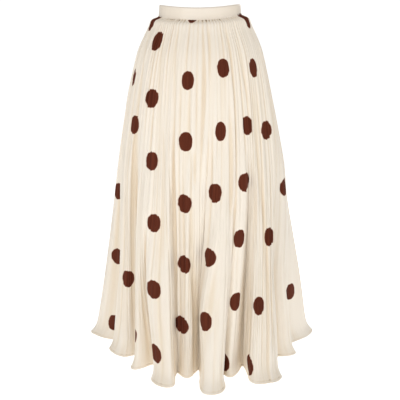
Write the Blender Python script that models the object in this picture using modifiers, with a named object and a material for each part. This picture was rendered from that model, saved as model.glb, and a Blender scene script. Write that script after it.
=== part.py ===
"""Pleated maxi skirt: a flat waistband, a front and two back panels falling in fine pleats and deep folds,
and a concealed zip down the centre back. Metres, +Z up, with the front towards -Y.

The origin is the middle of the waist opening, level with the top of the waistband at the wearer's sides.
"""

import math

import bmesh
import bpy
from mathutils import Matrix, Vector

MM = 0.001

# Driving sizes
LENGTH = 1040 * MM
BAND_HEIGHT = 36 * MM
BAND_WALL = 2.4 * MM
CLOTH_WALL = 1.2 * MM
GAP = 0.3 * MM

# The waistband's top edge dips at the centre front and centre back, and its right side rides a little higher.
EDGE_DIP = 9 * MM
EDGE_TILT = 1.5 * MM
DIP_FADES_BY = 300 * MM

# The whole skirt hangs slightly to the wearer's left towards the hem.
HEM_DRIFT = 8 * MM

# Centre-back zip
ZIP_LENGTH = 185 * MM
ZIP_SLIT = 1.6 * MM
ZIP_TOP = 3 * MM
TAPE_WIDTH = 12 * MM
TAPE_WALL = 0.6 * MM
TAPE_CLEARANCE = 0.4 * MM
TAPE_COLUMNS = 4

# The pleats are pressed flat beside the zip and come back below it.
PLAIN_BESIDE_ZIP = 15 * MM
PLAIN_BELOW_ZIP = 55 * MM

# Beside the zip the cloth is not gathered, so it is held in against the puff under the band, in mm
# (drop, held in)
HELD_BY_ZIP = (
    (36, 0),
    (45, 9),
    (60, 11),
    (90, 9),
    (130, 5),
    (190, 1),
    (230, 0),
)
HELD_BESIDE_ZIP = 26 * MM

# Outline that the crests of the folds touch, in mm: a row per level, from the band's seam to the hem.
# (drop below the waist edge, half width, half depth)
PROFILE = (
    (0, 116.5, 84.5),
    (36, 121.5, 88.5),
    (45, 139, 102),
    (60, 147, 110),
    (90, 163, 125),
    (130, 180, 143),
    (190, 196, 162),
    (280, 215, 184),
    (420, 240, 215),
    (580, 267, 249),
    (740, 293, 280),
    (880, 318, 311),
    (950, 331, 328),
    (1000, 342, 341),
    (1040, 358, 358),
)

# The fold lines, in order round the skirt from the wearer's right side: every crest and every valley.
# (bearing at the waist, bearing at the hem, set back from the outline at the hem in mm,
#  drop at which it begins in mm, pleats to the next)
# Bearings are in degrees from the centre front, positive towards +X.
FOLDS = (
    (-90, -94, 0, 220, 2),
    (-84, -86, 34, 300, 1),
    (-80, -79, 92, 400, 3),
    (-70, -71, 52, 440, 2),
    (-62, -58, 70, 460, 3),
    (-51, -53, 122, 260, 2),
    (-45, -42, 50, 540, 2),
    (-39, -34, 112, 560, 2),
    (-33, -24, 26, 520, 2),
    (-28, -15.5, 20, 460, 2),
    (-20, -17, 92, 360, 3),
    (-7, -9, 74, 480, 3),
    (8, -2, 118, 360, 2),
    (16, 1, 4, 420, 2),
    (23, 8.5, 4, 420, 2),
    (30, 12.5, 90, 500, 1),
    (33, 16.5, 70, 540, 2),
    (38, 29, 112, 340, 3),
    (49, 25.5, 26, 440, 3),
    (59, 32.5, 0, 500, 3),
    (70, 39.5, 8, 500, 3),
    (82, 50, 106, 360, 2),
    (89, 65.5, 46, 500, 2),
    (95, 74, 84, 520, 2),
    (103, 95, 0, 300, 2),
    (109, 104, 90, 420, 2),
    (114, 113, 28, 400, 3),
    (122, 125, 112, 300, 2),
    (129, 131, 22, 400, 4),
    (140, 142, 12, 400, 3),
    (148, 153, 110, 340, 2),
    (154, 160, 50, 560, 3),
    (163, 169, 100, 480, 3),
    (173, 174, 26, 300, 4),
    (187, 186, 24, 300, 3),
    (197, 191, 102, 380, 3),
    (206, 201, 40, 600, 2),
    (212, 209, 108, 320, 2),
    (219, 218, 10, 400, 4),
    (231, 229, 18, 400, 2),
    (238, 235, 110, 360, 3),
    (247, 247, 34, 520, 2),
    (255, 256, 88, 440, 3),
)

# How the folds open, from where each begins to the hem, where it is deepest
FOLDS_OPENING = 1.2

# Fine pleats: half of their depth, a row per level in mm (drop, half depth)
PLEAT_DEPTH = (
    (36, 0.7),
    (60, 1.3),
    (130, 1.8),
    (420, 2.4),
    (800, 2.8),
    (1000, 2.4),
    (1040, 1.6),
)

# The pleats differ in depth by up to this share, in a rhythm of about two and a half pleats.
PLEATS_UNEVEN = 0.35
PLEAT_RHYTHM = 2.4

# The hem's edge turns outwards like a trumpet, by less where the cloth lies in a valley.
TRUMPET = 9 * MM
TRUMPET_HEIGHT = 30 * MM
LESS_IN_VALLEY = 0.85

# The side seams lie between two pleats, on the backs of the folds at the wearer's sides, in pleats
# from the first fold line and from the fold line whose bearing at the waist is given.
RIGHT_SEAM = -0.75
LEFT_SIDE_FOLD = 103
LEFT_SEAM_BEHIND = 1.25

# Levels at which the panels have a ring of points, in mm below the waist edge
RINGS = (36.3, 45, 60, 90, 130, 185, 195, 280, 400, 540, 680, 810, 920, 990, 1022, 1040)
BAND_RINGS = (0, 12, 24, 36)
BAND_STATIONS = 84
NEAREST_TO_SEAM = 0.15

# Small steps over which the slope of the cloth is taken: along it in pleats, and down it
STEP_ALONG = 0.05
STEP_DOWN = 4 * MM

# Slider and pull tab
SLIDER_DROP = 12 * MM
SLIDER_BODY = (5.4 * MM, 3.0 * MM, 9.0 * MM)
NECK_WIDTH = 0.8 * MM
NECK_HEIGHT = 3.0 * MM
CROWN_STANDS_OFF = 2.2 * MM
CROWN_RADIUS = 1.9 * MM
CROWN_HOLE = 1.0 * MM
NECK_INTO_CROWN = 0.8 * MM
PULL_WALL = 1.0 * MM
PULL_LENGTH = 17 * MM
PULL_WIDTH = 6.4 * MM
PULL_NECK = 4.4 * MM
PULL_WINDOW = (2.0 * MM, 4.4 * MM)
BAR_SIDES = 24
PULL_END_STEPS = 12

CREAM = (0.80, 0.70, 0.58)
CREAM_PAINT = (0.82, 0.74, 0.62)


# ---------------------------------------------------------------- curves through the tables


def hermite(xs, ys, x):
    """A smooth curve through the points (xs, ys), with xs rising, read at x."""
    last = len(xs) - 2
    i = 0
    while i < last and x > xs[i + 1]:
        i += 1

    def slope(k):
        low, high = max(k - 1, 0), min(k + 1, len(xs) - 1)
        return (ys[high] - ys[low]) / (xs[high] - xs[low])

    span = xs[i + 1] - xs[i]
    f = min(max((x - xs[i]) / span, 0.0), 1.0)
    f2, f3 = f * f, f * f * f
    return (
        (2 * f3 - 3 * f2 + 1) * ys[i]
        + (f3 - 2 * f2 + f) * span * slope(i)
        + (3 * f2 - 2 * f3) * ys[i + 1]
        + (f3 - f2) * span * slope(i + 1)
    )


def read_row(table, column, drop):
    """A column of a table whose first column is the drop in mm, at a drop in metres."""
    return MM * hermite([row[0] for row in table], [row[column] for row in table], drop / MM)


def fold_positions():
    """The place of each fold line round the cloth, counted in pleats, and the number of pleats in all."""
    places, count = [], 0
    for row in FOLDS:
        places.append(count)
        count += row[4]
    return places, count


PLACES, PLEATS = fold_positions()

# Three turns of the table, so that the curve through it closes without a break
TURNS = (-1, 0, 1)
LAID_OUT = [place + turn * PLEATS for turn in TURNS for place in PLACES]
WAIST_BEARING = [row[0] + 360 * turn for turn in TURNS for row in FOLDS]
HEM_BEARING = [row[1] + 360 * turn for turn in TURNS for row in FOLDS]
SET_BACK = [row[2] for turn in TURNS for row in FOLDS]
BEGINS = [row[3] for turn in TURNS for row in FOLDS]


def smooth_step(x):
    x = min(max(x, 0.0), 1.0)
    return x * x * (3 - 2 * x)


# ---------------------------------------------------------------- the shape of the cloth


def opening(place, drop):
    """How far the fold here is open at this level: 0 above where it begins, 1 at the hem."""
    begins = MM * hermite(LAID_OUT, BEGINS, place)
    return max(0.0, (drop - begins) / (LENGTH - begins)) ** FOLDS_OPENING


def bearing_at(place, drop):
    """Bearing in radians of a line of the cloth, on its way from its waist bearing to its hem bearing."""
    waist = hermite(LAID_OUT, WAIST_BEARING, place)
    hem = hermite(LAID_OUT, HEM_BEARING, place)
    fallen = min(max(drop - BAND_HEIGHT, 0.0) / (LENGTH - BAND_HEIGHT), 1.0)
    return math.radians(waist + (hem - waist) * fallen)


def edge_rise(bearing, drop):
    """Height of the waist edge over the level plane, fading out down the skirt."""
    rise = EDGE_TILT * math.sin(bearing) - EDGE_DIP * math.cos(bearing) ** 2
    return rise * (1 - smooth_step(drop / DIP_FADES_BY))


def oval_point(bearing, drop, set_back=0.0):
    """A point at this bearing on the outline of the level, or set back inside it."""
    drift = HEM_DRIFT * smooth_step(drop / LENGTH)
    return Vector((
        drift + (read_row(PROFILE, 1, drop) - set_back) * math.sin(bearing),
        -(read_row(PROFILE, 2, drop) - set_back) * math.cos(bearing),
        edge_rise(bearing, drop) - drop,
    ))


def smooth_cloth(place, drop):
    """The cloth's outer face without its fine pleats."""
    bearing = bearing_at(place, drop)
    set_back = MM * hermite(LAID_OUT, SET_BACK, place) * opening(place, drop)
    beside_zip = (bearing - math.pi) * read_row(PROFILE, 1, drop) / HELD_BESIDE_ZIP
    held_in = read_row(HELD_BY_ZIP, 1, drop) * math.exp(-beside_zip**2)
    return oval_point(bearing, drop, set_back + held_in)


def outward(surface, place, drop):
    """Unit normal of a surface(place, drop), level and pointing out of the skirt."""
    along = surface(place + STEP_ALONG, drop) - surface(place - STEP_ALONG, drop)
    return Vector((along.y, -along.x, 0.0)).normalized()


def place_of_back():
    """The place of the centre back, half way between the two fold lines on either side of it."""
    before = max(i for i, row in enumerate(FOLDS) if row[0] < 180)
    return PLACES[before] + FOLDS[before][4] / 2


CENTRE_BACK = place_of_back()
LEFT_SEAM = LEFT_SEAM_BEHIND + next(place for place, row in zip(PLACES, FOLDS) if row[0] == LEFT_SIDE_FOLD)


def plain_by_zip(place, drop):
    """0 beside the zip, where the cloth is pressed flat, and 1 everywhere else."""
    off = (smooth_cloth(place, drop) - smooth_cloth(CENTRE_BACK, drop)).length
    beside = smooth_step((off - PLAIN_BESIDE_ZIP) / PLAIN_BESIDE_ZIP)
    below = smooth_step((drop - ZIP_LENGTH) / PLAIN_BELOW_ZIP)
    return max(beside, below)


def cloth(place, drop):
    """The cloth's outer face: the smooth face, its pleats and the trumpet of the hem."""
    fold = 1 - 2 * abs(2 * (place % 1.0) - 1)
    uneven = 1 + PLEATS_UNEVEN * math.sin(PLEAT_RHYTHM * math.floor((place + 0.25) % PLEATS))
    pleat = read_row(PLEAT_DEPTH, 1, drop) * fold * uneven * plain_by_zip(place, drop)
    turned = max(0.0, 1 - (LENGTH - drop) / TRUMPET_HEIGHT) ** 2
    in_valley = max(hermite(LAID_OUT, SET_BACK, place), 0.0) / max(SET_BACK)
    flare = TRUMPET * turned * (1 - LESS_IN_VALLEY * in_valley)
    return smooth_cloth(place, drop) + outward(smooth_cloth, place, drop) * (pleat + flare)


# ---------------------------------------------------------------- building helpers


def new_material(name, colour, roughness, metallic=0.0):
    material = bpy.data.materials.new(name)
    material.use_nodes = True
    shader = material.node_tree.nodes["Principled BSDF"]
    shader.inputs["Base Color"].default_value = (*colour, 1.0)
    shader.inputs["Roughness"].default_value = roughness
    shader.inputs["Metallic"].default_value = metallic
    return material


def new_object(name, mesh, material, collection):
    obj = bpy.data.objects.new(name, mesh)
    collection.objects.link(obj)
    mesh.materials.append(material)
    mesh.shade_smooth()
    return obj


def sheet_mesh(name, columns, rows, point):
    """A grid of columns by rows whose points are moved to point(column, row), faces outwards."""
    bm = bmesh.new()
    bmesh.ops.create_grid(bm, x_segments=columns - 1, y_segments=rows - 1, size=0.5)
    for vert in bm.verts:
        column = round((vert.co.x + 0.5) * (columns - 1))
        row = round((0.5 - vert.co.y) * (rows - 1))
        vert.co = point(column, row)
    mesh = bpy.data.meshes.new(name)
    bm.to_mesh(mesh)
    bm.free()
    return mesh


def thicken(obj, wall):
    """Gives an open sheet its wall, built inwards from the face that shows."""
    solid = obj.modifiers.new("wall", "SOLIDIFY")
    solid.thickness = wall
    solid.offset = -1.0
    solid.use_even_offset = False
    solid.use_quality_normals = True


def cut_or_join(obj, other, operation):
    boolean = obj.modifiers.new(operation.lower(), "BOOLEAN")
    boolean.operation = operation
    boolean.solver = "EXACT"
    boolean.object = other


def as_guide(obj):
    obj.hide_render = True
    obj.display_type = "WIRE"


def block(name, size, centre, collection, material=None):
    """A box of this size with its middle at centre."""
    bm = bmesh.new()
    bmesh.ops.create_cube(bm, size=1.0)
    bmesh.ops.scale(bm, vec=size, verts=bm.verts)
    bmesh.ops.translate(bm, vec=centre, verts=bm.verts)
    mesh = bpy.data.meshes.new(name)
    bm.to_mesh(mesh)
    bm.free()
    obj = bpy.data.objects.new(name, mesh)
    collection.objects.link(obj)
    if material:
        mesh.materials.append(material)
    return obj


def disc(name, radius, width, centre, collection):
    """A round bar along X with its middle at centre."""
    bm = bmesh.new()
    turned = Matrix.Rotation(math.pi / 2, 4, "Y")
    bmesh.ops.create_cone(
        bm, cap_ends=True, segments=BAR_SIDES, radius1=radius, radius2=radius, depth=width, matrix=turned
    )
    bmesh.ops.translate(bm, vec=centre, verts=bm.verts)
    mesh = bpy.data.meshes.new(name)
    bm.to_mesh(mesh)
    bm.free()
    obj = bpy.data.objects.new(name, mesh)
    collection.objects.link(obj)
    return obj


# ---------------------------------------------------------------- the pieces


def build_waistband(collection, satin):
    """One flat strip round the waist, folded double, open at the centre back."""

    def point(column, row):
        drop = BAND_RINGS[row] * MM
        half_slit = 0.5 * ZIP_SLIT / read_row(PROFILE, 1, drop)
        swing = math.pi - half_slit
        return oval_point(swing * (2 * column / (BAND_STATIONS - 1) - 1), drop)

    mesh = sheet_mesh("waistband", BAND_STATIONS, len(BAND_RINGS), point)
    thicken(new_object("waistband", mesh, satin, collection), BAND_WALL)


def seam_shift(place, drop, distance):
    """The place at this distance along the cloth from place, the same way as the sign of distance."""
    ahead, behind = smooth_cloth(place + STEP_ALONG, drop), smooth_cloth(place - STEP_ALONG, drop)
    return place + distance * 2 * STEP_ALONG / (ahead - behind).length


def half_gap(end, drop):
    """Half of the space left at a panel's edge: the zip's slit, or a seam's gap."""
    if end == CENTRE_BACK and drop <= ZIP_LENGTH:
        return 0.5 * ZIP_SLIT
    return 0.5 * GAP


def build_panel(name, start, end, collection, satin):
    """A panel of pleated cloth from one seam to the next, with a point on each crest and valley of a pleat."""
    first = math.ceil(2 * (start + NEAREST_TO_SEAM))
    last = math.floor(2 * (end - NEAREST_TO_SEAM))
    inner = [k / 2 for k in range(first, last + 1)]
    stations = [start, *inner, end]

    def point(column, row):
        drop = RINGS[row] * MM
        place = stations[column]
        if column == 0:
            place = seam_shift(start, drop, half_gap(start % PLEATS, drop))
        if column == len(stations) - 1:
            place = seam_shift(end, drop, -half_gap(end % PLEATS, drop))
        return cloth(place, drop)

    mesh = sheet_mesh(name, len(stations), len(RINGS), point)
    thicken(new_object(name, mesh, satin, collection), CLOTH_WALL)


def tape_depth(drop):
    """How far a zip tape lies behind the outer face: behind the thick band, then behind the cloth."""
    passed = smooth_step((drop - BAND_HEIGHT) / (0.5 * BAND_HEIGHT))
    return TAPE_CLEARANCE + BAND_WALL + (CLOTH_WALL - BAND_WALL) * passed


def build_tape(name, side, collection, material):
    """A zip tape behind the edge of the band and the back panel, made from their own points."""
    rings = [ZIP_TOP / MM, *BAND_RINGS[1:], *(ring for ring in RINGS[1:] if ring * MM <= ZIP_LENGTH)]

    def face(place, drop):
        """The outer face in front of the tape."""
        if drop <= BAND_HEIGHT:
            return oval_point(bearing_at(place, BAND_HEIGHT), drop)
        return smooth_cloth(place, drop)

    def point(column, row):
        drop = rings[row] * MM
        reach = 0.5 * ZIP_SLIT + TAPE_WIDTH * column / (TAPE_COLUMNS - 1)
        place = seam_shift(CENTRE_BACK, drop, side * reach)
        along = face(place + STEP_ALONG, drop) - face(place - STEP_ALONG, drop)
        down = face(place, drop + STEP_DOWN) - face(place, drop - STEP_DOWN)
        return face(place, drop) - down.cross(along).normalized() * tape_depth(drop)

    mesh = sheet_mesh(name, TAPE_COLUMNS, len(rings), point)
    if side < 0:
        mesh.flip_normals()
    thicken(new_object(name, mesh, material, collection), TAPE_WALL)


def build_slider(collection, guides, metal):
    """The slider inside the band, its thin neck through the slit, and the crown that the pull hangs on."""
    face = oval_point(math.pi, SLIDER_DROP)
    inside = face.y - BAND_WALL - TAPE_CLEARANCE - TAPE_WALL - GAP
    width, depth, height = SLIDER_BODY
    axis = Vector((face.x, face.y + CROWN_STANDS_OFF, face.z))
    slider = block("zip_slider", SLIDER_BODY, (face.x, inside - depth / 2, face.z), collection, metal)
    neck_from = inside - depth / 2
    neck_to = axis.y - CROWN_RADIUS + NECK_INTO_CROWN
    neck_size = (NECK_WIDTH, neck_to - neck_from, NECK_HEIGHT)
    neck = block("neck", neck_size, (face.x, neck_from + neck_size[1] / 2, face.z), guides)
    crown = disc("crown", CROWN_RADIUS, NECK_WIDTH, axis, guides)
    hole = disc("crown_hole", CROWN_HOLE, 2 * NECK_WIDTH, axis, guides)
    for part, operation in ((neck, "UNION"), (crown, "UNION"), (hole, "DIFFERENCE")):
        as_guide(part)
        cut_or_join(slider, part, operation)
    return axis


def outline_spline(curve, points):
    spline = curve.splines.new("POLY")
    spline.points.add(len(points) - 1)
    for point, (x, y) in zip(spline.points, points):
        point.co = (x, y, 0.0, 1.0)
    spline.use_cyclic_u = True


def build_pull(axis, collection, metal):
    """A flat drop-shaped tab with a window: the bar over the window hangs in the crown and turns there."""
    curve = bpy.data.curves.new("zip_pull", "CURVE")
    curve.dimensions = "2D"
    curve.fill_mode = "BOTH"
    curve.extrude = PULL_WALL / 2
    top = PULL_WALL / 2
    shoulder = -PULL_LENGTH + PULL_WIDTH / 2
    radius = PULL_WIDTH / 2
    angles = [math.pi * k / PULL_END_STEPS for k in range(PULL_END_STEPS + 1)]
    round_end = [(radius * math.cos(angle), shoulder - radius * math.sin(angle)) for angle in angles]
    outline_spline(curve, [(-PULL_NECK / 2, top), (PULL_NECK / 2, top), *round_end])
    window_width, window_height = PULL_WINDOW
    half = window_width / 2
    outline_spline(curve, [(-half, -top), (-half, -top - window_height), (half, -top - window_height), (half, -top)])
    pull = bpy.data.objects.new("zip_pull", curve)
    collection.objects.link(pull)
    curve.materials.append(metal)
    below = oval_point(math.pi, SLIDER_DROP + PULL_LENGTH)
    beside = oval_point(math.pi, SLIDER_DROP)
    lean = math.atan2(below.y - beside.y, beside.z - below.z)
    pull.location = axis
    pull.rotation_euler = (math.pi / 2 + lean, 0.0, 0.0)


def build_skirt():
    for obj in list(bpy.data.objects):
        bpy.data.objects.remove(obj, do_unlink=True)
    skirt = bpy.data.collections.new("pleated_maxi_skirt")
    guides = bpy.data.collections.new("guides")
    for collection in (skirt, guides):
        bpy.context.scene.collection.children.link(collection)

    satin = new_material("cream_satin", CREAM, 0.45)
    band_satin = new_material("waistband_satin", CREAM, 0.40)
    tape = new_material("zip_tape", CREAM, 0.80)
    metal = new_material("zip_metal", CREAM_PAINT, 0.35)

    build_waistband(skirt, band_satin)
    build_panel("skirt_front", RIGHT_SEAM, LEFT_SEAM, skirt, satin)
    build_panel("skirt_back_left", LEFT_SEAM, CENTRE_BACK, skirt, satin)
    build_panel("skirt_back_right", CENTRE_BACK, RIGHT_SEAM + PLEATS, skirt, satin)
    build_tape("zip_tape_left", -1, skirt, tape)
    build_tape("zip_tape_right", 1, skirt, tape)
    axis = build_slider(skirt, guides, metal)
    build_pull(axis, skirt, metal)


build_skirt()
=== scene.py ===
"""Pleated maxi skirt in cream satin with large brown dots: a plain folded waistband, a front and
two back panels of fine pleats that open into deep folds, a rolled hem, and a concealed zip down the
centre back.
"""

import math

import bmesh
import bpy
import numpy as np
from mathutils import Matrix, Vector


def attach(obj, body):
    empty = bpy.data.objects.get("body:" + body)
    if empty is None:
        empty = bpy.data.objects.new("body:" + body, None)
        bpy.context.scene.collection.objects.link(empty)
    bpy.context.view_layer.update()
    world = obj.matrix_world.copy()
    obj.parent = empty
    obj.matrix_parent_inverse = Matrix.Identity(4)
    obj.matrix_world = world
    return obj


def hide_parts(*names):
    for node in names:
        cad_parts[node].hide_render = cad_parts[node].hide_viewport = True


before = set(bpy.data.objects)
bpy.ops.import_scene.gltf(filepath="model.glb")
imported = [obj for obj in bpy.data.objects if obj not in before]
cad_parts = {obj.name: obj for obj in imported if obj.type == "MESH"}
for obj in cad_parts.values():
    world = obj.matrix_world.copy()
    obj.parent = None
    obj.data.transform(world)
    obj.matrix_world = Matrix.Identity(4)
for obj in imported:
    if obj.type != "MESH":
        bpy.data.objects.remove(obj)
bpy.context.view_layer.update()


# ==================================================================================================
# Waistband
# One strip of plain cream satin, folded double along its top edge and stitched shut over the
# gathered tops of the panels. It stands open by a hair at the centre back, where its ends are
# turned in beside the zip.

MM = 0.001
LENGTH = 1040 * MM
BAND_HEIGHT = 36 * MM
BAND_WALL = 2.4 * MM
BAND_SLIT = 1.5 * MM
BAND_CLOTH = 0.5 * MM
BAND_COLUMNS = 420

# How far the band's ends are turned in beside the zip, and where its two layers meet
END_TURNED_IN = 2.5 * MM
MIDDLE_OF_BAND = 1.2 * MM

# Distances round the band for each radian of bearing: at the slit, beside it, and on average
ROUND_AT_SLIT = 121.5 * MM
ROUND_BESIDE_SLIT = 120 * MM
ROUND_BAND = 103 * MM

# The gathers under the strip lift its lower edge this much, in two waves of these many turns.
EDGE_EASED = 0.35 * MM
EASED_TURNS = (31, 7)

# The gathered cloth puffs up over the lower edge of the band, which shows this tall.
BAND_SEEN = 32.5 * MM

# The top edge dips at the centre front and centre back, and the right side rides a little higher.
EDGE_DIP = 9 * MM
EDGE_TILT = 1.5 * MM
DIP_FADES_BY = 300 * MM

# The whole skirt hangs slightly to the wearer's left towards the hem.
HEM_DRIFT = 8 * MM

# Outline that the crests of the folds touch, a row per level from the waist edge to the hem, in mm:
# (drop below the waist edge, half width, half depth)
PROFILE = (
    (0, 116.5, 84.5),
    (36, 121.5, 88.5),
    (45, 139, 102),
    (60, 147, 110),
    (90, 163, 125),
    (130, 180, 143),
    (190, 196, 162),
    (280, 215, 184),
    (420, 240, 215),
    (580, 267, 249),
    (740, 293, 280),
    (880, 318, 311),
    (950, 331, 328),
    (1000, 342, 341),
    (1040, 358, 358),
)

# The folded strip in section, from its inner turned-in edge over the top fold to the outer one, in
# mm: (drop, distance inside the outer face)
BAND_SECTION = (
    (27.0, 1.7),
    (33.0, 1.7),
    (35.6, 1.9),
    (36.0, 2.1),
    (35.4, 2.4),
    (30.0, 2.4),
    (18.0, 2.5),
    (6.0, 2.4),
    (2.0, 2.3),
    (0.5, 1.9),
    (0.0, 1.2),
    (0.5, 0.5),
    (2.0, 0.1),
    (6.0, -0.1),
    (12.0, -0.3),
    (18.0, -0.4),
    (24.0, -0.35),
    (30.0, -0.2),
    (33.5, -0.1),
    (35.4, 0.0),
    (36.0, 0.3),
    (35.6, 0.6),
    (33.0, 0.7),
    (27.0, 0.7),
)


def smooth_step(x):
    """0 below 0, 1 above 1, and an even S-shaped rise between."""
    x = np.clip(x, 0.0, 1.0)
    return x * x * (3 - 2 * x)


def curve_through(xs, ys, x):
    """A smooth curve through the points (xs, ys), with xs rising, read at x."""
    xs, ys = np.asarray(xs, float), np.asarray(ys, float)
    slope = np.empty_like(ys)
    slope[1:-1] = (ys[2:] - ys[:-2]) / (xs[2:] - xs[:-2])
    slope[0] = (ys[1] - ys[0]) / (xs[1] - xs[0])
    slope[-1] = (ys[-1] - ys[-2]) / (xs[-1] - xs[-2])
    i = np.clip(np.searchsorted(xs, x) - 1, 0, len(xs) - 2)
    span = xs[i + 1] - xs[i]
    f = np.clip((x - xs[i]) / span, 0.0, 1.0)
    f2, f3 = f * f, f * f * f
    return (
        (2 * f3 - 3 * f2 + 1) * ys[i]
        + (f3 - 2 * f2 + f) * span * slope[i]
        + (3 * f2 - 2 * f3) * ys[i + 1]
        + (f3 - f2) * span * slope[i + 1]
    )


def read_row(table, column, drop):
    """A column of a table whose first column is the drop in mm, at a drop in metres."""
    return MM * curve_through([row[0] for row in table], [row[column] for row in table], drop / MM)


def oval(bearing, drop, set_back=0.0):
    """Points at these bearings on the outline of the level, or set back inside it."""
    drift = HEM_DRIFT * smooth_step(drop / LENGTH)
    rise = EDGE_TILT * np.sin(bearing) - EDGE_DIP * np.cos(bearing) ** 2
    rise = rise * (1 - smooth_step(drop / DIP_FADES_BY))
    x = drift + (read_row(PROFILE, 1, drop) - set_back) * np.sin(bearing)
    y = -(read_row(PROFILE, 2, drop) - set_back) * np.cos(bearing)
    return np.stack([x, y, rise - drop + 0 * x], axis=-1)


def woven_mesh(name, points, lie, **marks):
    """A cloth mesh through points[row][column], its faces outwards, with its UV map in the cloth's
    own lie and one attribute for each table of marks[row][column].
    """
    rows, columns = points.shape[:2]
    bm = bmesh.new()
    bmesh.ops.create_grid(bm, x_segments=columns - 1, y_segments=rows - 1, size=0.5)
    cloth_map = bm.loops.layers.uv.new("cloth")
    layers = {mark: bm.verts.layers.float.new(mark) for mark in marks}
    at = {}
    for vert in bm.verts:
        column = round((vert.co.x + 0.5) * (columns - 1))
        row = round((0.5 - vert.co.y) * (rows - 1))
        at[vert] = (row, column)
        vert.co = points[row, column]
        for mark, layer in layers.items():
            vert[layer] = marks[mark][row][column]
    for face in bm.faces:
        face.smooth = True
        for loop in face.loops:
            loop[cloth_map].uv = lie[at[loop.vert]]
    mesh = bpy.data.meshes.new(name)
    bm.to_mesh(mesh)
    bm.free()
    return mesh


def hang(name, mesh, material, wall=0.0):
    """Puts a finished mesh into the scene with its material, and its wall built inwards."""
    piece = bpy.data.objects.new(name, mesh)
    bpy.context.scene.collection.objects.link(piece)
    mesh.materials.append(material)
    if wall:
        thickness = piece.modifiers.new("cloth thickness", "SOLIDIFY")
        thickness.thickness = wall
        thickness.offset = -1.0
        thickness.use_even_offset = False
    return piece


class Finish:
    """A procedural material that is built up node by node."""

    def __init__(self, name, roughness, gloss=0.5, sheen=0.0, coat=0.0):
        self.material = bpy.data.materials.new(name)
        self.material.use_nodes = True
        self.nodes = self.material.node_tree.nodes
        self.links = self.material.node_tree.links
        self.shader = self.nodes["Principled BSDF"]
        self.shader.inputs["Roughness"].default_value = roughness
        self.shader.inputs["Sheen Weight"].default_value = sheen
        self.shader.inputs["Sheen Roughness"].default_value = 0.35
        self.shader.inputs["Specular IOR Level"].default_value = gloss
        self.shader.inputs["Coat Weight"].default_value = coat

    def lie(self, scale):
        """The piece's own UV map, scaled across and along."""
        source = self.nodes.new("ShaderNodeUVMap")
        source.uv_map = "cloth"
        mapping = self.nodes.new("ShaderNodeMapping")
        mapping.inputs["Scale"].default_value = (*scale, 1.0)
        self.links.new(source.outputs["UV"], mapping.inputs["Vector"])
        return mapping.outputs["Vector"]

    def space(self, scale):
        """The object's own coordinates, scaled."""
        source = self.nodes.new("ShaderNodeTexCoord")
        mapping = self.nodes.new("ShaderNodeMapping")
        mapping.inputs["Scale"].default_value = scale
        self.links.new(source.outputs["Object"], mapping.inputs["Vector"])
        return mapping.outputs["Vector"]

    def mark(self, name):
        """A number that the mesh carries at each point."""
        node = self.nodes.new("ShaderNodeAttribute")
        node.attribute_name = name
        return node.outputs["Fac"]

    def noise(self, vector, scale, detail=3.0, roughness=0.5):
        """Soft unevenness of a colour or a surface."""
        node = self.nodes.new("ShaderNodeTexNoise")
        node.inputs["Scale"].default_value = scale
        node.inputs["Detail"].default_value = detail
        node.inputs["Roughness"].default_value = roughness
        self.links.new(vector, node.inputs["Vector"])
        return node.outputs["Fac"]

    def weave(self, vector, direction, scale):
        """Even bands, as of threads or stitches."""
        node = self.nodes.new("ShaderNodeTexWave")
        node.bands_direction = direction
        node.inputs["Scale"].default_value = scale
        node.inputs["Distortion"].default_value = 0.0
        self.links.new(vector, node.inputs["Vector"])
        return node.outputs["Fac"]

    def math(self, operation, first, second=0.5, third=0.5):
        """The result of an operation on numbers or sockets."""
        node = self.nodes.new("ShaderNodeMath")
        node.operation = operation
        for socket, value in zip(node.inputs, (first, second, third)):
            if isinstance(value, (int, float)):
                socket.default_value = value
            else:
                self.links.new(value, socket)
        return node.outputs["Value"]

    def spread(self, value, low, high, to_low=0.0, to_high=1.0):
        """Maps a value from one range to another, clamped."""
        node = self.nodes.new("ShaderNodeMapRange")
        self.links.new(value, node.inputs["Value"])
        ends = (("From Min", low), ("From Max", high), ("To Min", to_low), ("To Max", to_high))
        for name, number in ends:
            node.inputs[name].default_value = number
        return node.outputs["Result"]

    def blend(self, factor, first, second):
        """A colour between two colours or sockets."""
        node = self.nodes.new("ShaderNodeMix")
        node.data_type = "RGBA"
        self.links.new(factor, node.inputs["Factor"])
        for socket, value in ((node.inputs["A"], first), (node.inputs["B"], second)):
            if isinstance(value, tuple):
                socket.default_value = (*value, 1.0)
            else:
                self.links.new(value, socket)
        return node.outputs["Result"]

    def relief(self, height, distance, strength, over=None):
        """Raises the surface by a height, over another relief if one is given."""
        node = self.nodes.new("ShaderNodeBump")
        node.inputs["Distance"].default_value = distance
        node.inputs["Strength"].default_value = strength
        self.links.new(height, node.inputs["Height"])
        if over:
            self.links.new(over, node.inputs["Normal"])
        return node.outputs["Normal"]

    def wear(self, colour, normal=None, roughness=None):
        """Gives the finished colour, relief and roughness to the material."""
        for name, value in (("Base Color", colour), ("Normal", normal), ("Roughness", roughness)):
            if value is not None:
                self.links.new(value, self.shader.inputs[name])
        return self.material


def waistband_satin():
    satin = Finish("waistband_satin", roughness=0.38, gloss=0.45, sheen=0.05)
    soft = satin.noise(satin.lie((9.0, 30.0)), 1.0, 2.0)
    colour = satin.blend(satin.spread(soft, 0.35, 0.65), (0.80, 0.715, 0.605), (0.83, 0.75, 0.65))
    ease = satin.relief(soft, 0.6 * MM, 0.6)
    twill = satin.weave(satin.lie((1.0, 0.35)), "DIAGONAL", 900.0)
    return satin.wear(colour, satin.relief(twill, 0.02 * MM, 0.5, ease))


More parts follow.
